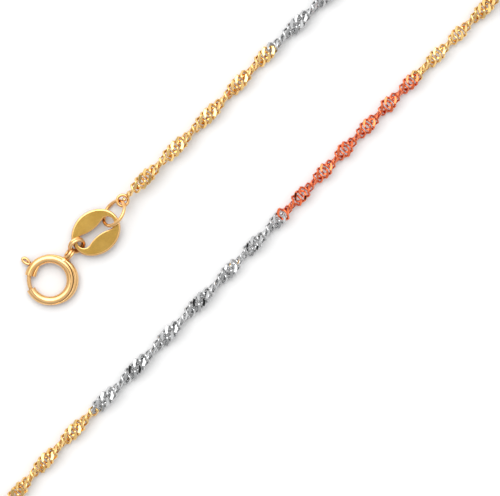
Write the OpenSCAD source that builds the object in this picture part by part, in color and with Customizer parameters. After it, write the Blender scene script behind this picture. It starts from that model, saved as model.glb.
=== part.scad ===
// Singapore chain necklace in three golds, unfastened and laid in one open loop.
// Millimetres, +Z up, z = 0 is the surface that it lies on.
// The origin is the middle of the loop's box, and the clasp end lies at low Y on the left.

/* [Chain] */
// Width of the twisted chain across a lobe
chain_w = 1.5; // [1.1:0.1:2]
// Outside width of the plain link at each end of the chain
link_od = 1.4; // [1.3:0.05:1.8]
// Wire of those end links
link_wire = 0.3; // [0.2:0.02:0.36]

/* [Spring ring] */
// Outside width of the round tube
ring_od = 5.12; // [4.6:0.1:7]
// Thickness of the tube
tube_d = 0.9; // [0.8:0.05:1.1]
// Hollow inside the tube, round the tongue
tube_bore = 0.52; // [0.48:0.02:0.6]
// Angle of the mouth's upper end, counted from the eye
mouth_from = 115; // [105:1:120]
// Angle that the mouth takes out of the ring
mouth_span = 38; // [34:1:42]
// Thickness of the strengthening rib along the outside
rib_d = 0.66; // [0.5:0.02:0.7]
// How far the rib stands out past the tube
rib_out = 0.285; // [0.1:0.01:0.32]

/* [Tongue] */
// Wire of the tongue that closes the mouth
tongue_wire = 0.41; // [0.34:0.01:0.44]
// Angle that the thumb lever travels
travel = 40; // [34:1:42]
// Width of the lever's bent loop
lever_w = 0.66; // [0.5:0.02:0.8]
// Length of that loop outside the tube
lever_long = 0.84; // [0.7:0.02:1.2]
// Wire of that loop
lever_wire = 0.26; // [0.18:0.02:0.3]
// Clearance of the lever in its slot, each side
slot_gap = 0.05; // [0.03:0.01:0.1]

/* [Eye and link] */
// Wire of the eye soldered to the spring ring
eye_wire = 0.28; // [0.2:0.02:0.34]
// Wire of the link, which is two turns side by side
clasp_wire = 0.24; // [0.18:0.02:0.28]
// Distance between the middles of the link's two turns
turn_step = 0.176; // [0.1:0.01:0.2]
// Play of the link on the tab and in the eye
link_play = 0.17; // [0.15:0.01:0.3]
// Play of the eye on the link
eye_play = 0.15; // [0.13:0.01:0.3]

/* [Oval tab] */
// Length of the flat oval
tab_long = 5.24; // [4.8:0.05:7]
// Width of the flat oval
tab_wide = 4.38; // [3.6:0.05:5]
// Thickness of the sheet
tab_t = 0.3; // [0.2:0.02:0.36]
// Bevel round the rim
tab_bevel = 0.1; // [0.04:0.01:0.12]
// Width of the hole's two round lobes
lobe_d = 1.32; // [1.2:0.02:1.5]
// Width of the hole's narrow middle
neck_w = 0.77; // [0.5:0.01:0.95]
// Metal left between each lobe and the tab's end
tab_rim = 0.46; // [0.36:0.02:0.6]

/* [Jump ring] */
// Outside width of the jump ring at the chain
jump_od = 3.13; // [2.9:0.05:3.8]
// Wire of the jump ring
jump_wire = 0.35; // [0.26:0.01:0.4]

/* [End ring] */
// Outside width of the plain ring at the far end
end_od = 3.2; // [2.9:0.05:4]
// Wire of that ring
end_wire = 0.35; // [0.26:0.01:0.4]

/* [Hidden] */
$fn = 64;

// Running clearance between pieces that hang in each other
seat = 0.02;
// A cut that goes right through stands proud by this much
proud = 0.1;

// Colour of the yellow gold
yellow = "goldenrod";

// Route of the chain, from the clasp end to the far end: x, y and the share of the start's lift
route = [
    [-46.3, -1.9, 1], [-46.3, 9, 0.15], [-46.5, 21, 0], [-45.7, 33, 0], [-41, 46, 0],
    [-32, 57, 0], [-19, 66, 0], [-2, 71.5, 0], [15, 71.5, 0], [30, 65, 0], [41, 53.5, 0],
    [47, 38.5, 0], [49, 22, 0], [49.2, 5, 0], [48.6, -12, 0], [46.7, -29, 0], [42.5, -45, 0],
    [34.5, -59, 0], [21.5, -69, 0], [5, -72.5, 0], [-11, -69.5, 0], [-23.5, -60, 0],
    [-30.7, -46, 0], [-33.2, -30, 0], [-33.6, -12, 0], [-34, 6, 0], [-34.4, 26, 0], [-34.3, 48, 0]
];

// Round the tube
sides = 8;
steps = 3;

// Vectors
function unit(v) = v / norm(v);
function flat(v) = [v[0], v[1], 0];
function dir(a) = [cos(a), sin(a), 0];

// A smooth line through four points, at the share t between the middle two
function smooth(a, b, c, d, t) =
    (2 * b + (c - a) * t + (2 * a - 5 * b + 4 * c - d) * t * t + (3 * b - a - 3 * c + d) * t * t * t) / 2;

// Jump ring: it leans to the right and rests on the surface
jump_lean = 38.4;
jump_turn = 101.7;
jump_r = (jump_od - jump_wire) / 2;
jump_z = jump_r * cos(jump_lean) + jump_wire / 2;

// The chain lies at half its width above the surface, lifted at its start to the jump ring
lift = jump_z - chain_w / 2;
last = len(route) - 1;
function spot(i) = [route[i][0], route[i][1], chain_w / 2 + lift * route[i][2]];
function before(i) = i > 0 ? spot(i - 1) : 2 * spot(0) - spot(1);
function after(i) = i < last ? spot(i + 1) : 2 * spot(last) - spot(last - 1);
function line_at(i, t) = smooth(before(i), spot(i), spot(i + 1), after(i + 1), t);
function resting(p) = [p[0], p[1], max(p[2], chain_w / 2)];
line = [for (i = [0 : last - 1], k = [0 : steps - 1]) resting(line_at(i, k / steps)), spot(last)];
function heading(i) = unit(line[min(i + 1, len(line) - 1)] - line[max(i - 1, 0)]);
start_way = unit(flat(line[0] - line[1]));
tail_way = unit(flat(line[len(line) - 1] - line[len(line) - 2]));

// End links: one lies flat at the clasp end, and one stands on edge at the far end
link_r = (link_od - link_wire) / 2;
start_link_at = line[0] + (link_od / 2 + seat) * start_way;
tail_link_at = spot(last) + (link_od / 2 + seat) * tail_way;
tail_link_z = link_od / 2;

// The end ring hangs low in the tail link and leans down to the surface
end_r = (end_od - end_wire) / 2;
end_hold = link_r - link_wire / 2 - end_wire / 2 - 2 * seat;
end_high = tail_link_z - end_hold * sin(45);
end_tilt = asin((end_high - end_wire / 2) / (2 * end_r));
end_at = tail_link_at + (end_hold * cos(45) + end_r * cos(end_tilt)) * tail_way;

// Jump ring: its wire passes through the start link
jump_hold = link_r - link_wire / 2 - jump_wire / 2 / cos(jump_lean) - 2 * seat;
jump_tip = start_link_at + jump_hold * start_way;
jump_at = flat(jump_tip - jump_r * dir(jump_turn)) + [0, 0, jump_z];

// Oval tab: its far end lies under the jump ring's middle, a little to one side
tab_turn = 83;
tab_tilt = 3;
jump_side = 0.37;
tab_along = dir(tab_turn);
tab_left = dir(tab_turn + 90);
tab_at = flat(jump_at - tab_long / 2 * tab_along - jump_side * tab_left);
lobe_r = lobe_d / 2;
hole_end = tab_long / 2 - tab_rim;
lobe_at = hole_end - lobe_r;

// The tab's outline is four arcs, two blunt ends and two long sides
end_share = 0.73;
end_arc = end_share * tab_long / 2;
end_arc_at = tab_long / 2 - end_arc;
side_arc = (pow(tab_wide / 2, 2) + pow(end_arc_at, 2) - pow(end_arc, 2)) / (tab_wide - 2 * end_arc);
side_arc_at = side_arc - tab_wide / 2;
arcs_meet = end_arc_at * side_arc / (side_arc - end_arc);

// The hole's sides are two arcs that meet the lobes smoothly
neck_arc = (pow(lobe_at, 2) + pow(neck_w / 2, 2) - pow(lobe_r, 2)) / (2 * lobe_r - neck_w);
neck_arc_at = neck_arc + neck_w / 2;
neck_end = lobe_at * (1 - lobe_r / (neck_arc + lobe_r));
neck_side = neck_arc_at * lobe_r / (neck_arc + lobe_r);

// Clasp link: it holds the tab's rim and the eye, and leans
clasp_turn = 83.1;
clasp_lean = 50.4;
clasp_r = (tab_rim + tab_t + eye_wire) / 2 + link_play + clasp_wire / 2;
clasp_low = clasp_r * cos(clasp_lean) + turn_step / 2 * sin(clasp_lean) + clasp_wire / 2;
clasp_rise = 0.12;
clasp_z = clasp_low + clasp_rise;
clasp_in = 0.06;
clasp_side = 0.155;
clasp_at = flat(tab_at - ((tab_long / 2 + hole_end) / 2 - clasp_in) * tab_along + clasp_side * tab_left)
    + [0, 0, clasp_z];

// The tab's height, where the link holds it
tab_drop = 0.095;
tab_z = clasp_z - tab_drop + sin(tab_tilt) * hole_end;

// Eye: a ring on the spring ring's outside that stands on edge and leans a little
eye_turn = 98;
eye_lean = -16.5;
eye_way = -85.6;
eye_r = turn_step / 2 + clasp_wire + eye_play + eye_wire / 2;
eye_z = eye_r * cos(eye_lean) + eye_wire / 2;
eye_overlap = 0.084;
eye_step = eye_r + clasp_r - eye_wire / 2 - clasp_wire / 2 - eye_overlap;
eye_at = flat(clasp_at + eye_step * dir(eye_way)) + [0, 0, eye_z];

// Spring ring: it leans down from its eye until its far side rests on the surface
ring_r = (ring_od - tube_d) / 2;
eye_sink = 0.06;
eye_reach = ring_r + tube_d / 2 + eye_r + eye_wire / 2 - eye_sink;
ring_tilt = asin((eye_z - tube_d / 2) / (eye_reach + ring_r));
ring_at = eye_at - eye_reach * (cos(ring_tilt) * dir(eye_turn) + [0, 0, sin(ring_tilt)]);

// Solder that joins the eye to the tube
solder_d = 0.46;

// Rib: an arc on a centre that is moved towards its middle, so both ends sink into the tube
rib_mid = -53;
rib_half = 100;
rib_shift = 0.265;
rib_r = ring_r + tube_d / 2 + rib_out - rib_shift - rib_d / 2;

// Tongue: from its hidden end in the tube to its tip in the mouth's far end
mouth_to = mouth_from + mouth_span;
tip_in = 5;
back_in = 55;
lever_in = 26;
bore_spare = 4;
tongue_tip = mouth_to + tip_in;
tongue_back = mouth_from - back_in;
bore_from = tongue_back - travel - bore_spare;
bore_to = tongue_tip + bore_spare;
lever_turn = mouth_from - lever_in;
lever_gap = 0.06;
lever_foot = ring_od / 2 + lever_gap;
lever_arc = (lever_w - lever_wire) / 2;
neck_turn = asin((lever_wire / 2 + slot_gap) / ring_r);

// A round wire bent into a closed ring, in the XY plane
module wire_ring(r, wire) {
    rotate_extrude()
        translate([r, 0])
            circle(d = wire, $fn = 32);
}

// Part of such a ring, from one angle to another
module wire_arc(r, wire, from, to) {
    rotate([0, 0, from])
        rotate_extrude(angle = to - from)
            translate([r, 0])
                circle(d = wire, $fn = 32);
}

// Stands a flat ring up on the line at angle a and leans its top to the left of that line
module leaning(at, a, lean) {
    translate(at)
        rotate([0, 0, a])
            rotate([90 - lean, 0, 0])
                children();
}

// The spring ring's own frame: x points at the eye
module in_ring() {
    translate(ring_at)
        rotate([0, 0, eye_turn])
            rotate([0, -ring_tilt, 0])
                children();
}

// The tab's own frame: x runs along the oval towards the chain
module in_tab() {
    translate([tab_at[0], tab_at[1], tab_z])
        rotate([0, 0, tab_turn])
            rotate([0, -tab_tilt, 0])
                children();
}

// One ring of points round the chain's line
function hoop(i) =
    let (way = heading(i), side = unit(cross([0, 0, 1], way)), up = cross(way, side),
         r = chain_w / 2 / cos(180 / sides))
    [for (k = [0 : sides - 1])
        let (a = (k + 0.5) * 360 / sides) line[i] + r * (cos(a) * side + sin(a) * up)];

module chain() {
    rings = len(line);
    points = [for (i = [0 : rings - 1]) each hoop(i)];
    walls = [for (i = [0 : rings - 2], k = [0 : sides - 1])
        let (a = i * sides + k, b = i * sides + (k + 1) % sides)
            each [[a, b, b + sides], [a, b + sides, a + sides]]];
    near_end = [for (k = [sides - 1 : -1 : 0]) k];
    far_end = [for (k = [0 : sides - 1]) (rings - 1) * sides + k];
    color(yellow)
        polyhedron(points = points, faces = concat(walls, [near_end, far_end]));
}

module start_link() {
    color(yellow)
        translate([start_link_at[0], start_link_at[1], jump_z])
            wire_ring(link_r, link_wire);
}

module tail_link() {
    color(yellow)
        leaning([tail_link_at[0], tail_link_at[1], tail_link_z], atan2(tail_way[1], tail_way[0]), 0)
            wire_ring(link_r, link_wire);
}

module end_ring() {
    color(yellow)
        translate([end_at[0], end_at[1], (end_high + end_wire / 2) / 2])
            rotate([0, 0, atan2(tail_way[1], tail_way[0])])
                rotate([0, end_tilt, 0])
                    wire_ring(end_r, end_wire);
}

module jump_ring() {
    color(yellow)
        leaning(jump_at, jump_turn, -jump_lean)
            wire_ring(jump_r, jump_wire);
}

// The oval, shrunk by `near` at its bottom and by `far` at its top
module oval(h, near, far) {
    for (s = [-1, 1])
        translate([s * end_arc_at, 0, 0])
            cylinder(h = h, r1 = end_arc - near, r2 = end_arc - far);
    intersection() {
        translate([0, -side_arc_at, 0])
            cylinder(h = h, r1 = side_arc - near, r2 = side_arc - far);
        translate([0, side_arc_at, 0])
            cylinder(h = h, r1 = side_arc - near, r2 = side_arc - far);
        translate([-arcs_meet, -tab_wide, 0])
            cube([2 * arcs_meet, 2 * tab_wide, h]);
    }
}

// The hourglass hole
module hourglass(h) {
    for (s = [-1, 1])
        translate([s * lobe_at, 0, 0])
            cylinder(h = h, r = lobe_r, center = true);
    difference() {
        cube([2 * neck_end, 2 * neck_side, h], center = true);
        for (s = [-1, 1])
            translate([0, s * neck_arc_at, 0])
                cylinder(h = 2 * h, r = neck_arc, center = true, $fn = 128);
    }
}

module oval_tab() {
    color(yellow)
        in_tab()
            difference() {
                union() {
                    translate([0, 0, -tab_t / 2])
                        oval(tab_t - tab_bevel, 0, 0);
                    translate([0, 0, tab_t / 2 - tab_bevel])
                        oval(tab_bevel, 0, tab_bevel);
                }
                hourglass(tab_t + 2 * proud);
            }
}

// The clasp link is two turns of wire soldered side by side
module clasp_link() {
    color(yellow)
        leaning(clasp_at, clasp_turn, clasp_lean)
            for (s = [-1, 1])
                translate([0, 0, s * turn_step / 2])
                    wire_ring(clasp_r, clasp_wire);
}

module rib() {
    translate(rib_shift * dir(rib_mid))
        wire_arc(rib_r, rib_d, rib_mid - rib_half, rib_mid + rib_half);
}

module eye() {
    translate([eye_reach, 0, 0])
        rotate([90 - eye_lean, 0, 0])
            wire_ring(eye_r, eye_wire);
    translate([ring_r + tube_bore / 2, 0, 0])
        rotate([0, 90, 0])
            cylinder(h = tube_d / 2 - tube_bore / 2 + eye_wire / 2, d = solder_d);
}

module spring_ring() {
    slot_h = lever_wire + 2 * slot_gap;
    color(yellow)
        in_ring()
            difference() {
                union() {
                    wire_arc(ring_r, tube_d, mouth_to, 360 + mouth_from);
                    rib();
                    eye();
                }
                wire_arc(ring_r, tube_bore, bore_from, bore_to);
                rotate([0, 0, lever_turn - travel - neck_turn])
                    rotate_extrude(angle = travel + 2 * neck_turn)
                        translate([ring_r, -slot_h / 2])
                            square([tube_d, slot_h]);
            }
}

// The lever is a bent loop of wire on a short neck
module lever() {
    inner = lever_foot + lever_w / 2;
    outer = lever_foot + lever_long - lever_w / 2;
    translate([outer, 0, 0])
        wire_arc(lever_arc, lever_wire, -90, 90);
    translate([inner, 0, 0])
        wire_arc(lever_arc, lever_wire, 90, 270);
    for (s = [-1, 1])
        translate([inner, s * lever_arc, 0])
            rotate([0, 90, 0])
                cylinder(h = outer - inner, d = lever_wire);
    translate([ring_r, 0, 0])
        rotate([0, 90, 0])
            cylinder(h = lever_foot + lever_wire / 2 - ring_r, d = lever_wire);
}

module tongue() {
    color(yellow)
        in_ring() {
            wire_arc(ring_r, tongue_wire, tongue_back, tongue_tip);
            rotate([0, 0, lever_turn])
                lever();
        }
}

chain();
start_link();
jump_ring();
oval_tab();
clasp_link();
spring_ring();
tongue();
tail_link();
end_ring();
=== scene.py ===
import math

import bpy
import numpy as np
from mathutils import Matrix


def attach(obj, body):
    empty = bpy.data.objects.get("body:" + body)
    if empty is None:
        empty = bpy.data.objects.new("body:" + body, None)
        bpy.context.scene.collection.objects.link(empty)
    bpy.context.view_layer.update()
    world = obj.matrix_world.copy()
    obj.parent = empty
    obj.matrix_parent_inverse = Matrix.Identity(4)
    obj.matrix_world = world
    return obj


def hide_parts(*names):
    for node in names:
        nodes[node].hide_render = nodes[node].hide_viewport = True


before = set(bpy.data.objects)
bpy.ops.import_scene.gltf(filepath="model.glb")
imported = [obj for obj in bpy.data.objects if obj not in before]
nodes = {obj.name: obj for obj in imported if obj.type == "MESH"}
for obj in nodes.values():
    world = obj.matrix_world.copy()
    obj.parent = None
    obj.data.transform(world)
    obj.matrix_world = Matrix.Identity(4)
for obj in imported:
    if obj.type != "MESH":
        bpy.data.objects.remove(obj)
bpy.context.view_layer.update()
mm = 0.001

# Camera. The photo looks straight down on the clasp and on the two straight strands, through a
# long lens, with the strands running from its lower left to its upper right.
view_centre = (-34.0 * mm, 3.0 * mm)
view_width = 50.0 * mm
strand_turn = math.radians(45)
lens = bpy.data.cameras.new("product_lens")
lens.lens = 200
lens.sensor_width = 36
camera = bpy.data.objects.new("camera", lens)
bpy.context.scene.collection.objects.link(camera)
camera.location = (*view_centre, view_width * lens.lens / lens.sensor_width)
camera.rotation_euler = (0, 0, strand_turn)
lens.clip_start = 1 * mm
lens.clip_end = 100
bpy.context.scene.camera = camera

# Chain. Each link is a ring of round wire, bent so that its near end dips and its far end rises,
# hung in the next one and twisted with it, then filed flat on its faces so that it sparkles. The
# wire is gold, and long stretches of yellow, white and rose links follow each other.
chain_w = 1.5 * mm
link_pitch = 0.77 * mm
link_half_long = 0.78 * mm
link_blunt = 0.60 * mm
link_half_wide = 0.58 * mm
link_squareness = 1.2
link_bend = 0.34 * mm
long_wire = 0.29 * mm
tight_wire = 0.235 * mm
side_flare = 0.3
tip_taper = 0.2
filed_at = 0.345 * mm
quarter = np.array([5, 18, 45, 72, 85])
link_stations = np.radians(np.concatenate([quarter, quarter + 90, quarter + 180, quarter + 270]))
wire_corners = np.radians([0, 45, 135, 180, 225, 315])
first_link = 0.06 * mm
half_twist_long = 4.3 * mm
half_twist_rose = 3.2 * mm
near_quarters = [0.3, 2.4, 4.5, 6.8, 8.9, 11.6, 13.6, 15.8, 17.8, 19.7, 21.9, 24.2, 26.0]
far_quarters = [
    362.5, 364.6, 366.6, 368.7, 370.8, 373.1, 375.2, 377.3, 380.0, 382.2, 384.2, 386.5, 389.0, 391.3, 392.8,
    394.2, 396.4, 398.4, 399.8, 401.2, 403.0, 404.8, 406.2, 407.6, 409.2, 411.0, 412.6, 413.9, 415.5, 417.0,
    419.0, 420.9, 422.4, 423.7, 425.4, 427.5]
level_links = [377.3, 386.5, 394.2, 401.2]
proud_links = [398.6, 407.5, 413.9]
proud_by = 1.12
start_bend = 0.5
quick_twist = math.radians(38)
sway = math.radians(1.6)
sway_most = 1.5
floor_gap = 0.003 * mm
first_white = 20.49 * mm
white_long = 26.74 * mm
rose_long = 19.08 * mm
yellow_long = 24.43 * mm
start_lift = 0.514 * mm
route = [
    (-46.3, -1.9, 1), (-46.3, 9, 0.15), (-46.5, 21, 0), (-45.7, 33, 0), (-41, 46, 0),
    (-32, 57, 0), (-19, 66, 0), (-2, 71.5, 0), (15, 71.5, 0), (30, 65, 0), (41, 53.5, 0),
    (47, 38.5, 0), (49, 22, 0), (49.2, 5, 0), (48.6, -12, 0), (46.7, -29, 0), (42.5, -45, 0),
    (34.5, -59, 0), (21.5, -69, 0), (5, -72.5, 0), (-11, -69.5, 0), (-23.5, -60, 0),
    (-30.7, -46, 0), (-33.2, -30, 0), (-33.6, -12, 0), (-34, 6, 0), (-34.4, 26, 0), (-34.3, 48, 0),
]


def chain_line(points, steps):
    """A Catmull-Rom curve: between two points, a cubic whose slope at each is half the step from
    the point before it to the point after it. Heights are clipped to the resting height."""
    p = np.array(points, float)
    p = np.column_stack([p[:, :2] * mm, chain_w / 2 + start_lift * p[:, 2]])
    p = np.vstack([2 * p[0] - p[1], p, 2 * p[-1] - p[-2]])
    t = np.linspace(0, 1, steps, endpoint=False)[None, :, None]
    a, b, c, d = (p[k:len(p) - 3 + k, None] for k in range(4))
    curve = (2 * b + (c - a) * t + (2 * a - 5 * b + 4 * c - d) * t**2 + (3 * b - a - 3 * c + d) * t**3) / 2
    curve = np.vstack([curve.reshape(-1, 3), p[-2]])
    curve[:, 2] = np.maximum(curve[:, 2], chain_w / 2)
    return curve


def mesh_piece(name, points, faces, materials, picks=None, smooth=False):
    """A mesh object from an array of points and one of quads, put in with foreach_set."""
    mesh = bpy.data.meshes.new(name)
    mesh.vertices.add(len(points))
    mesh.vertices.foreach_set("co", np.asarray(points, np.float32).ravel())
    faces = np.asarray(faces, np.int32)
    mesh.loops.add(faces.size)
    mesh.loops.foreach_set("vertex_index", faces.ravel())
    mesh.polygons.add(len(faces))
    mesh.polygons.foreach_set("loop_start", np.arange(len(faces), dtype=np.int32) * faces.shape[1])
    mesh.polygons.foreach_set("use_smooth", np.full(len(faces), smooth) if np.isscalar(smooth) else smooth)
    for material in materials:
        mesh.materials.append(material)
    if picks is not None:
        mesh.polygons.foreach_set("material_index", np.asarray(picks, np.int32))
    mesh.update(calc_edges=True)
    piece = bpy.data.objects.new(name, mesh)
    bpy.context.scene.collection.objects.link(piece)
    return piece


def grid_quads(rows, columns):
    """The quads of a grid that closes on itself both ways, such as a ring's skin."""
    i, j = np.meshgrid(np.arange(rows), np.arange(columns), indexing="ij")
    k, m = (i + 1) % rows, (j + 1) % columns
    return np.stack([i * columns + j, k * columns + j, k * columns + m, i * columns + m], -1).reshape(-1, 4)


def wire_middle(a):
    """The middle line of a link's wire at the angle a. Seen from above it is a rounded rhombus, with
    powers of the cosine and sine, whose two ends are cut blunt. Its height follows minus the sine of
    twice the angle, with its crests flattened."""
    c, s = np.cos(a), np.sin(a)
    power = 2 / link_squareness
    x = np.clip(link_half_long * np.sign(c) * np.abs(c)**power, -link_blunt, link_blunt)
    y = link_half_wide * np.sign(s) * np.abs(s)**power
    wave = np.sin(2 * a)
    return np.column_stack([x, y, -link_bend * 3 * wave / (1 + 2 * np.abs(wave))])


def bent_link(wire):
    """One link's skin about the origin, x along the chain and z off its face. A section with a flat
    top and bottom and pointed sides is carried along the wire's middle line. It thins by the taper
    times the cosine's sixth power, and widens by the flare times the sine of twice the angle. Each
    side is filed flat where it stands highest."""
    a = link_stations
    line = wire_middle(a)
    along = wire_middle(a + 0.001) - wire_middle(a - 0.001)
    along /= np.linalg.norm(along, axis=1)[:, None]
    out = np.column_stack([along[:, 1], -along[:, 0], 0 * a])
    out /= np.linalg.norm(out, axis=1)[:, None]
    up = np.cross(out, along)
    thick = wire / 2 * (1 - tip_taper * np.cos(a)**6)
    wide = thick * (1 + side_flare * np.abs(np.sin(2 * a)))
    skin = line[:, None] + (wide[:, None] * np.cos(wire_corners))[..., None] * out[:, None]
    skin += (thick[:, None] * np.sin(wire_corners))[..., None] * up[:, None]
    skin[..., 2] = np.clip(skin[..., 2], -filed_at, filed_at)
    return skin.reshape(-1, 3)


def gold(name, color, rough, dark, shade_colour, streak, open_from=0.75):
    """Polished gold. Its colour goes over to the dark one in soft patches, and to the shade colour, as
    painted shade, in corners and folds and on flanks near the table, up to where the surface is open to
    the air. Fine polishing marks, of the streak's scale, change its roughness and raise a faint bump."""
    material = bpy.data.materials.new(name)
    material.use_nodes = True
    tree = material.node_tree
    shader = tree.nodes["Principled BSDF"]
    shader.inputs["Metallic"].default_value = 1
    place = tree.nodes.new("ShaderNodeTexCoord")
    patch = tree.nodes.new("ShaderNodeTexNoise")
    patch.inputs["Scale"].default_value = 900
    patch.inputs["Detail"].default_value = 3
    tree.links.new(place.outputs["Object"], patch.inputs["Vector"])
    tint = tree.nodes.new("ShaderNodeValToRGB")
    tint.color_ramp.elements[0].position = 0.35
    tint.color_ramp.elements[0].color = (*dark, 1)
    tint.color_ramp.elements[1].position = 0.6
    tint.color_ramp.elements[1].color = (*color, 1)
    tree.links.new(patch.outputs["Fac"], tint.inputs["Fac"])
    # Painted shade: the base colour goes over to the shade colour where ambient occlusion finds the surface
    # closed in, in corners, folds and on flanks near the table.
    corner = tree.nodes.new("ShaderNodeAmbientOcclusion")
    corner.samples = 6
    corner.inputs["Distance"].default_value = 1.2 * mm
    shade_amount = tree.nodes.new("ShaderNodeMapRange")
    shade_amount.inputs["From Min"].default_value = 0.15
    shade_amount.inputs["From Max"].default_value = open_from
    tree.links.new(corner.outputs["AO"], shade_amount.inputs["Value"])
    painted_shade = tree.nodes.new("ShaderNodeMix")
    painted_shade.data_type = "RGBA"
    painted_shade.inputs[6].default_value = (*shade_colour, 1)
    tree.links.new(shade_amount.outputs["Result"], painted_shade.inputs["Factor"])
    tree.links.new(tint.outputs["Color"], painted_shade.inputs[7])
    tree.links.new(painted_shade.outputs[2], shader.inputs["Base Color"])
    marks = tree.nodes.new("ShaderNodeTexNoise")
    marks.inputs["Scale"].default_value = streak
    marks.inputs["Detail"].default_value = 4
    tree.links.new(place.outputs["Object"], marks.inputs["Vector"])
    gloss = tree.nodes.new("ShaderNodeMapRange")
    gloss.inputs["To Min"].default_value = rough * 0.6
    gloss.inputs["To Max"].default_value = rough * 1.5
    tree.links.new(marks.outputs["Fac"], gloss.inputs["Value"])
    tree.links.new(gloss.outputs["Result"], shader.inputs["Roughness"])
    bump = tree.nodes.new("ShaderNodeBump")
    bump.inputs["Strength"].default_value = 0.15
    bump.inputs["Distance"].default_value = 0.004 * mm
    tree.links.new(marks.outputs["Fac"], bump.inputs["Height"])
    tree.links.new(bump.outputs["Normal"], shader.inputs["Normal"])
    return material


# Each link sits at an even step along the line, facing along it.
path = chain_line(route, 60)
steps = np.linalg.norm(np.diff(path, axis=0), axis=1)
run = np.concatenate([[0], np.cumsum(steps)])
link_count = int((run[-1] - 2 * first_link) / link_pitch) + 1
at = np.linspace(first_link, run[-1] - first_link, link_count)
centre = np.column_stack([np.interp(at, run, path[:, k]) for k in range(3)])
way = np.gradient(centre, axis=0)
way /= np.linalg.norm(way, axis=1)[:, None]
side = np.cross([0, 0, 1], way)
side /= np.linalg.norm(side, axis=1)[:, None]
up = np.cross(way, side)

# The colours follow each other in the order white, rose, yellow.
cycle = np.mod(at - first_white, white_long + rose_long + yellow_long)
colour = np.where(cycle < white_long, 1, np.where(cycle < white_long + rose_long, 2, 0))
colour[at < first_white] = 0

# The chain turns evenly where the photo doesn't show it. Where it does, the quarter turns fall on the
# charted lengths, edge on and face up by turns, and are smoothed over five links.
turn = np.cumsum(np.pi * (at[1] - at[0]) / np.where(colour == 2, half_twist_rose, half_twist_long))
seen = np.array(near_quarters + far_quarters) * mm
free = np.interp(seen, at, turn)
count = np.arange(len(seen))
unseen = round((free[len(near_quarters)] - free[0]) / np.pi)
count[len(near_quarters):] += 2 * unseen - len(near_quarters)
turn += np.interp(at, seen, (count + 1) * np.pi / 2 - free)
weights = np.array([1, 2, 3, 2, 1]) / 9
turn = np.convolve(np.pad(turn, 2, "reflect", reflect_type="odd"), weights, "valid")

# Each link sways a little in its neighbours. A few lie exactly level, and mirror the dark above them.
chance = np.random.default_rng(7)
roll, nod, yaw = sway * chance.standard_normal((3, link_count)).clip(-sway_most, sway_most)
level = np.abs(at[:, None] - np.array(level_links) * mm).argmin(0)
roll[level] = np.round(turn[level] / np.pi) * np.pi - turn[level]
nod[level] = 0
turn += roll
face_side = np.cos(turn)[:, None] * side - np.sin(turn)[:, None] * up
face_up = np.cross(way, face_side)
face_way = way + yaw[:, None] * face_side + nod[:, None] * face_up
face_side = face_side - yaw[:, None] * way
face_up = face_up - nod[:, None] * way

# The wire is thinner in the rose links and where the twist is quick. A few links stand proud of the
# others, and the first is bent less, to hang in the start link.
tight = (colour == 2) | (np.gradient(turn) > quick_twist)
link = np.where(tight[:, None, None], bent_link(tight_wire), bent_link(long_wire))
proud = np.abs(at[:, None] - np.array(proud_links) * mm).argmin(0)
link[proud, :, 1] *= proud_by
link[0, :, 2] *= start_bend
points = (centre[:, None] + link[..., :1] * face_way[:, None] + link[..., 1:2] * face_side[:, None]
          + link[..., 2:] * face_up[:, None])
points[..., 2] = np.maximum(points[..., 2], floor_gap)
quads = grid_quads(len(link_stations), len(wire_corners))
station, corner = np.divmod(np.arange(len(quads)), len(wire_corners))
rounded = ~np.isin(station % 5, [1, 2]) | (corner % 3 != 1)
faces = quads[None] + (np.arange(link_count) * link.shape[1])[:, None, None]

# Each gold's last colour is a painted shade for its corners and its flanks near the table.
yellow = gold("yellow_gold", (0.97, 0.68, 0.28), 0.09, (0.86, 0.57, 0.22), (0.72, 0.38, 0.08), 6000)
white = gold("white_gold", (0.66, 0.665, 0.67), 0.07, (0.50, 0.505, 0.51), (0.38, 0.385, 0.39), 6000)
rose = gold("rose_gold", (0.87, 0.21, 0.085), 0.09, (0.79, 0.17, 0.065), (0.55, 0.08, 0.025), 6000)
chain = mesh_piece("twisted_chain", points.reshape(-1, 3), faces.reshape(-1, 4), [yellow, white, rose],
                   np.repeat(colour, len(quads)), np.tile(rounded, link_count))
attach(chain, "necklace")
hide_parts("chain")

# Links and rings at the two ends of the chain. They are round yellow gold wire, closed with solder
# and polished bright.
# Its last colour is a painted shade for folds and for flanks near the table, spread up to where the surface
# is almost wholly open.
polished = gold("polished_gold", (0.91, 0.565, 0.255), 0.13, (0.85, 0.50, 0.19), (0.42, 0.15, 0.02),
                3000, 0.95)
for name in ("start_link", "jump_ring", "tail_link", "end_ring"):
    nodes[name].data.materials.clear()
    nodes[name].data.materials.append(polished)

# Oval tab. It is stamped from gold sheet with an hourglass hole, its face is left satin and is given
# a darker gold as painted shade, and its rim and the edge of its hole are rounded off and polished.
tab_at = (-45.9719, -6.7634, 0.8422)
tab_turn = 83
tab_tilt = 3
tab_thick = 0.3
rim_end_at = 0.7074
rim_end_r = 1.9126
rim_side_at = -0.7633
rim_side_r = 2.9533
rim_meets = math.radians(34.95)
lobe_at = 1.5
lobe_r = 0.66
neck_at = 3.953
neck_r = 3.568
hole_meets = math.radians(26)
rim_back_out = -0.04
rim_out = [0, 0, -0.03, -0.09, -0.17]
rim_up = [-0.10, 0.03, 0.10, 0.138, 0.15]
hole_in = [0.09, 0.04, 0.01, 0, 0]
hole_up = [0.15, 0.14, 0.11, 0.07, -0.15]
tab_quarter = np.sort(np.concatenate([np.arange(1.25, 90, 5), [24, 25, 25.6, 26.4, 27, 28, 29.5]]))


def ray_to_circle(share, place, radius, far):
    """The distance from the tab's middle to a circle, along a ray. The circle's middle lies on one
    axis at the place, and share is the ray's cosine or sine on that axis."""
    return place * share + far * np.sqrt((place * share)**2 - place**2 + radius**2)


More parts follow.
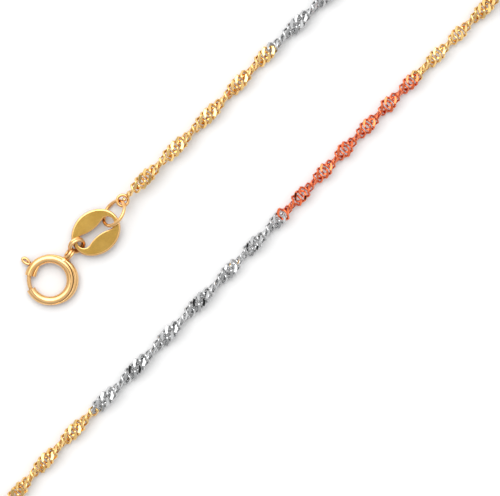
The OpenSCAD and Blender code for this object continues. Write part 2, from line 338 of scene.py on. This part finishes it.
def edged(outline, inset, height):
    """An outline moved inwards along its own normal, at one height."""
    along = np.roll(outline, -1, 0) - np.roll(outline, 1, 0)
    along /= np.linalg.norm(along, axis=1)[:, None]
    return np.column_stack([outline + inset * along[:, ::-1] * [1, -1], np.full(len(outline), height)])


def laid(points, at, turn, nose=0, roll=0):
    """Points in millimetres, rolled about x, lifted at the nose about y, turned about z and moved,
    then given in metres."""
    r, n, t = np.radians([roll, nose, turn])
    about_x = np.array([[1, 0, 0], [0, math.cos(r), -math.sin(r)], [0, math.sin(r), math.cos(r)]])
    about_y = np.array([[math.cos(n), 0, -math.sin(n)], [0, 1, 0], [math.sin(n), 0, math.cos(n)]])
    about_z = np.array([[math.cos(t), -math.sin(t), 0], [math.sin(t), math.cos(t), 0], [0, 0, 1]])
    return (np.reshape(points, (-1, 3)) @ (about_z @ about_y @ about_x).T + at) * mm


def outward(points, quads):
    """The same quads, turned over if the volume that they enclose comes out negative."""
    p = points[quads]
    volume = np.einsum("ij,ij->", p[:, 0], np.cross(p[:, 1], p[:, 2]) + np.cross(p[:, 2], p[:, 3]))
    return quads if volume > 0 else quads[:, ::-1]


# One row of points stands for each step of the edges, from the back of the rim over the face to the
# back of the hole. The face and the back lie between two rows each.
tab_angle = np.radians(np.concatenate([tab_quarter, 180 - tab_quarter[::-1], 180 + tab_quarter,
                                       360 - tab_quarter[::-1]]))
across, beside = np.abs(np.cos(tab_angle)), np.abs(np.sin(tab_angle))
rim_end = ray_to_circle(across, rim_end_at, rim_end_r, 1)
rim_side = ray_to_circle(beside, rim_side_at, rim_side_r, 1)
rim_line = np.where(beside < across * math.tan(rim_meets), rim_end, rim_side)
in_lobe = beside < across * math.tan(hole_meets)
lobe_line = ray_to_circle(np.where(in_lobe, across, 1), lobe_at, lobe_r, 1)
neck_line = ray_to_circle(np.where(in_lobe, 1, beside), neck_at, neck_r, -1)
ray = np.column_stack([np.cos(tab_angle), np.sin(tab_angle)])
rim = rim_line[:, None] * ray
hole = np.where(in_lobe, lobe_line, neck_line)[:, None] * ray
tab_rows = [edged(rim, rim_back_out, -tab_thick / 2)]
tab_rows += [edged(rim, inset, height) for inset, height in zip(rim_out, rim_up)]
tab_rows += [edged(hole, inset, height) for inset, height in zip(hole_in, hole_up)]
tab_points = laid(np.array(tab_rows), tab_at, tab_turn, tab_tilt)
tab_quads = grid_quads(len(tab_rows), len(tab_angle))
on_face = np.isin(np.arange(len(tab_quads)) // len(tab_angle), [len(rim_out), len(tab_rows) - 1])
# The face's gold is darker than the polished gold as painted shade; its rougher, finer marks are the satin
# finish.
satin_and_shade = gold("satin_gold", (0.62, 0.38, 0.09), 0.17, (0.56, 0.33, 0.07), (0.40, 0.20, 0.05), 9000)
tab = mesh_piece("oval_tab_sheet", tab_points, outward(tab_points, tab_quads), [polished, satin_and_shade],
                 on_face, ~on_face)
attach(tab, "necklace")
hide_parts("oval_tab")

# Clasp link. It is two turns of round wire side by side, soldered together, which hold the tab's rim
# and the eye of the spring ring.
clasp_at = (-46.405, -9.03, 0.835)
clasp_turn = 83.1
clasp_lean = 40
clasp_r = 0.745
clasp_wire = 0.31
turn_step = 0.27


def wire_ring(radius, wire, height=0):
    """A ring of round wire in millimetres: a circle of 16 points carried round a circle of 56."""
    a, b = np.meshgrid(np.arange(56) * math.tau / 56, np.arange(16) * math.tau / 16, indexing="ij")
    out = radius + wire / 2 * np.cos(b)
    return np.stack([out * np.cos(a), out * np.sin(a), height + wire / 2 * np.sin(b)], -1).reshape(-1, 3)


def joined(parts):
    """Several meshes as one: their points together, and their quads counted on."""
    starts = np.cumsum([0] + [len(points) for points, quads in parts])
    quads = [outward(points, quads) + start for (points, quads), start in zip(parts, starts)]
    return np.vstack([points for points, quads in parts]), np.vstack(quads)


ring_quads = grid_quads(56, 16)
clasp_turns = [wire_ring(clasp_r, clasp_wire, lift) for lift in (-turn_step / 2, turn_step / 2)]
clasp_parts = [(laid(points, clasp_at, clasp_turn, 0, 90 - clasp_lean), ring_quads) for points in clasp_turns]
double_link = mesh_piece("double_link", *joined(clasp_parts), [polished], None, True)
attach(double_link, "necklace")
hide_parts("clasp_link")

# Spring ring. Its tube is rolled from gold sheet, cut open at the mouth, slotted along the outside
# for the lever, and its edges lap inside the mouth. A rib runs along its outside, and an eye of two
# turns of wire is soldered on.
ring_at = (-45.8738, -13.3597, 0.5611)
ring_turn = 98
ring_tilt = 3.017
ring_r = 2.11
tube_r = 0.45
bore_r = 0.26
slot_half = 0.18
mouth_from = 115
mouth_to = 153
slot_from = 44
slot_to = 94
rib_mid = -53
rib_from = -100
rib_to = 90
fold_shade_from = 8
fold_shade_to = 36
lap_from = 64
eye_reach = 3.258
eye_lean = -16.5
eye_r = 0.575
eye_wire = 0.28
eye_step = 0.25
solder_out = [2.3, 2.45, 2.52, 2.6, 2.7, 2.78]
solder_r = [0.43, 0.42, 0.40, 0.36, 0.31, 0.22]


def closed_quads(rows, count):
    """The quads of a tube of so many rows, closed at both ends by quads that join the two halves of
    its section."""
    k = np.arange(count // 2 - 1)
    end = np.stack([k, k + 1, count - 2 - k, count - 1 - k], -1)
    return np.vstack([grid_quads(rows, count)[:-count], end[:, ::-1], end + (rows - 1) * count])


def swept(angles, radius, sections):
    """A closed section of (out, up) pairs carried round part of a circle. The radius and the section
    may change along the way."""
    a = np.radians(angles)[:, None]
    sections = np.broadcast_to(sections, (len(angles), *np.shape(sections)[-2:]))
    out = np.reshape(radius, (-1, 1)) + sections[..., 0]
    points = np.stack([out * np.cos(a), out * np.sin(a), sections[..., 1]], -1)
    return points.reshape(-1, 3), closed_quads(len(angles), points.shape[1])


def peg(out, radius):
    """A round peg along x: a circle of each radius at each place."""
    a = np.arange(20) * math.tau / 20
    points = np.stack([np.broadcast_to(np.reshape(out, (-1, 1)), (len(out), 20)),
                       np.multiply.outer(radius, np.cos(a)), np.multiply.outer(radius, np.sin(a))], -1)
    return points.reshape(-1, 3), closed_quads(len(out), 20)


def tube_section(half_gap):
    """The tube's wall: its outside all round from one side of the slot to the other, then its bore
    back again."""
    outside = np.linspace(math.asin(half_gap / tube_r), math.tau - math.asin(half_gap / tube_r), 30)
    inside = np.linspace(math.tau - math.asin(half_gap / bore_r), math.asin(half_gap / bore_r), 30)
    return np.vstack([np.column_stack([tube_r * np.cos(outside), tube_r * np.sin(outside)]),
                      np.column_stack([bore_r * np.cos(inside), bore_r * np.sin(inside)])])


def oval_section(half_wide, half_high):
    """An ellipse for each station, from its half width and half height."""
    a = np.arange(22) * math.tau / 22
    return np.stack([np.multiply.outer(half_wide, np.cos(a)), np.multiply.outer(half_high, np.sin(a))], -1)


def in_ring(part):
    """A part made in the spring ring's own plane, put where the ring lies."""
    return laid(part[0], ring_at, ring_turn, ring_tilt), part[1]


# The tube is whole from the mouth round to the slot, slotted, then whole again up to the mouth.
tube_parts = [swept(np.linspace(mouth_to, 360 + slot_from, 64), ring_r, tube_section(0)),
              swept(np.linspace(slot_from, slot_to, 14), ring_r, tube_section(slot_half)),
              swept(np.linspace(slot_to, mouth_from, 7), ring_r, tube_section(0))]

# The rib swells from nothing at 100 degrees from its middle, with the cosine of the angle.
rib_turn = np.linspace(rib_from, rib_to, 48)
rib_share = 0.148 + 0.852 * np.cos(np.radians(rib_turn))
rib = swept(rib_mid + rib_turn, ring_r + 0.34 + 0.05 * rib_share,
            oval_section(0.06 + 0.32 * rib_share**2, 0.25 + 0.18 * rib_share))

# The lapped edge leaves the wall with a sine's rise and stands off furthest at the mouth.
lap_turn = np.linspace(lap_from, mouth_from, 20)
lap_share = np.sin(np.linspace(0, math.pi / 2, 20))
lap = swept(lap_turn, ring_r - 0.32 - 0.17 * lap_share,
            oval_section(0.03 + 0.17 * lap_share, 0.22 + 0.12 * lap_share))

# The eye is two turns of wire on a peg of solder.
eye_turns = [wire_ring(eye_r, eye_wire, lift) for lift in (-eye_step / 2, eye_step / 2)]
eye_parts = [(laid(points, (eye_reach, 0, 0), 0, 0, 90 - eye_lean) / mm, ring_quads) for points in eye_turns]
solder = peg(solder_out, solder_r)
ring_parts = [in_ring(part) for part in [rib, lap, solder] + tube_parts + eye_parts]
ring_points, ring_faces = joined(ring_parts)

# The fold between the tube and the rib gets a dark painted shade, standing in for the crease's shading. The
# rib's faces come first in the mesh.
rib_station, rib_corner = np.divmod(np.arange(len(ring_faces)), 22)
in_fold_shade = (rib_station >= fold_shade_from) & (rib_station <= fold_shade_to) & np.isin(rib_corner, [6, 7])
fold_shade = gold("fold_painted_shade", (0.12, 0.06, 0.02), 0.3, (0.09, 0.04, 0.01), (0.10, 0.04, 0.01), 3000)
ring = mesh_piece("spring_ring_tube", ring_points, ring_faces, [polished, fold_shade], in_fold_shade, True)
ring.data.set_sharp_from_angle(angle=math.radians(50))
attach(ring, "necklace")
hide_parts("spring_ring")

# Tongue. It is a springy rod of gold that slides in the tube and closes the mouth, with a flat drop
# of bent wire soldered on as a thumb lever.
tongue_wire = 0.41
tongue_from = 60
tongue_to = 158
lever_turn = 89
lever_wire = 0.33
lever_mid = 3.0
lever_half_long = 0.42
lever_half_wide = 0.19
lever_swell = 0.25
stalk_out = [ring_r, 2.3, 2.5, 2.62, 2.72]
stalk_r = [0.13, 0.13, 0.13, 0.13, 0.10]


def bent_drop(half_wire):
    """Round wire carried round a flat drop on the x axis: an ellipse whose half width is widened by
    the swell times the cosine."""
    a, b = np.meshgrid(np.arange(40) * math.tau / 40, np.arange(14) * math.tau / 14, indexing="ij")
    wide = lever_half_wide * (1 + lever_swell * np.cos(a)) + half_wire * np.cos(b)
    long = lever_half_long * (1 + half_wire * np.cos(b) / lever_half_long)
    points = np.stack([lever_mid + long * np.cos(a), wide * np.sin(a), half_wire * np.sin(b)], -1)
    return points.reshape(-1, 3), grid_quads(40, 14)


# The rod's tip is rounded off over its last 4 degrees.
rod_turn = np.concatenate([[tongue_from], np.linspace(tongue_from + 0.5, tongue_to - 4, 30),
                           tongue_to - 4 + 4 * np.sin(np.radians([30, 60, 90]))])
rod_r = tongue_wire / 2 * np.concatenate([np.ones(31), np.cos(np.radians([30, 60, 82]))])
rod = swept(rod_turn, ring_r, oval_section(rod_r, rod_r))
lever_parts = [bent_drop(lever_wire / 2), peg(stalk_out, stalk_r)]
lever_parts = [(laid(points, (0, 0, 0), lever_turn) / mm, quads) for points, quads in lever_parts]
tongue = mesh_piece("tongue_and_lever", *joined([in_ring(part) for part in [rod] + lever_parts]),
                    [polished], None, True)
tongue.data.set_sharp_from_angle(angle=math.radians(50))
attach(tongue, "tongue")
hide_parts("tongue")

# Floor and light. The necklace lies on a plain white table under soft light from the upper left.
table = bpy.data.materials.new("white_table")
table.use_nodes = True
paper = table.node_tree.nodes["Principled BSDF"]
paper.inputs["Base Color"].default_value = (0.80, 0.80, 0.80, 1)
paper.inputs["Roughness"].default_value = 0.9
reach = 0.6
floor = mesh_piece("floor", [(-reach, -reach, 0), (reach, -reach, 0), (reach, reach, 0), (-reach, reach, 0)],
                   [(0, 1, 2, 3)], [table])

# The sky is brightest towards the photo's upper edge, and dark in a small spot straight overhead.
sky = bpy.data.worlds.new("studio")
sky.use_nodes = True
tree = sky.node_tree
direction = tree.nodes.new("ShaderNodeTexCoord")
split = tree.nodes.new("ShaderNodeSeparateXYZ")
tree.links.new(direction.outputs["Generated"], split.inputs["Vector"])
toward = tree.nodes.new("ShaderNodeVectorMath")
toward.operation = "DOT_PRODUCT"
toward.inputs[1].default_value = (-0.405, 0.405, 0.819)
tree.links.new(direction.outputs["Generated"], toward.inputs[0])
near = tree.nodes.new("ShaderNodeMapRange")
near.inputs["From Min"].default_value = -0.5
tree.links.new(toward.outputs["Value"], near.inputs["Value"])
dome = tree.nodes.new("ShaderNodeValToRGB")
stops = dome.color_ramp.elements
stops[0].position = 0.02
stops[0].color = (0.235, 0.235, 0.235, 1)
stops[1].position = 0.977
stops[1].color = (1.0, 1.0, 1.0, 1)
for height, grey in ((0.357, 0.315), (0.667, 0.41), (0.827, 0.575), (0.88, 0.65)):
    stop = stops.new(height)
    stop.color = (grey, grey, grey, 1)
tree.links.new(near.outputs["Result"], dome.inputs["Fac"])
above = tree.nodes.new("ShaderNodeValToRGB")
shade = above.color_ramp.elements
shade[0].position = 0.982
shade[0].color = (1, 1, 1, 1)
shade[1].position = 0.9962
shade[1].color = (0.02, 0.02, 0.02, 1)
for height, grey in ((0.988, 0.4), (0.9945, 0.35)):
    stop = shade.new(height)
    stop.color = (grey, grey, grey, 1)
tree.links.new(split.outputs["Z"], above.inputs["Fac"])
lens_gap = tree.nodes.new("ShaderNodeMix")
lens_gap.data_type = "RGBA"
lens_gap.blend_type = "MULTIPLY"
lens_gap.inputs["Factor"].default_value = 1
tree.links.new(dome.outputs["Color"], lens_gap.inputs[6])
tree.links.new(above.outputs["Color"], lens_gap.inputs[7])
tree.links.new(lens_gap.outputs[2], tree.nodes["Background"].inputs["Color"])
tree.nodes["Background"].inputs["Strength"].default_value = 2.0
bpy.context.scene.world = sky


def soft_box(name, place, size, power):
    """A square area light that faces the middle of the photo's view."""
    lamp = bpy.data.lights.new(name, "AREA")
    lamp.shape = "SQUARE"
    lamp.size = size
    lamp.energy = power
    box = bpy.data.objects.new(name, lamp)
    bpy.context.scene.collection.objects.link(box)
    aim = np.array([*view_centre, 0]) - np.array(place)
    box.location = place
    box.rotation_euler = (
        math.atan2(math.hypot(aim[0], aim[1]), -aim[2]), 0, math.atan2(aim[1], aim[0]) - math.pi / 2)
    return box


soft_box("key_box", (-0.335, 0.11, 0.58), 0.6, 1.9)

bpy.context.scene.view_settings.view_transform = "Standard"
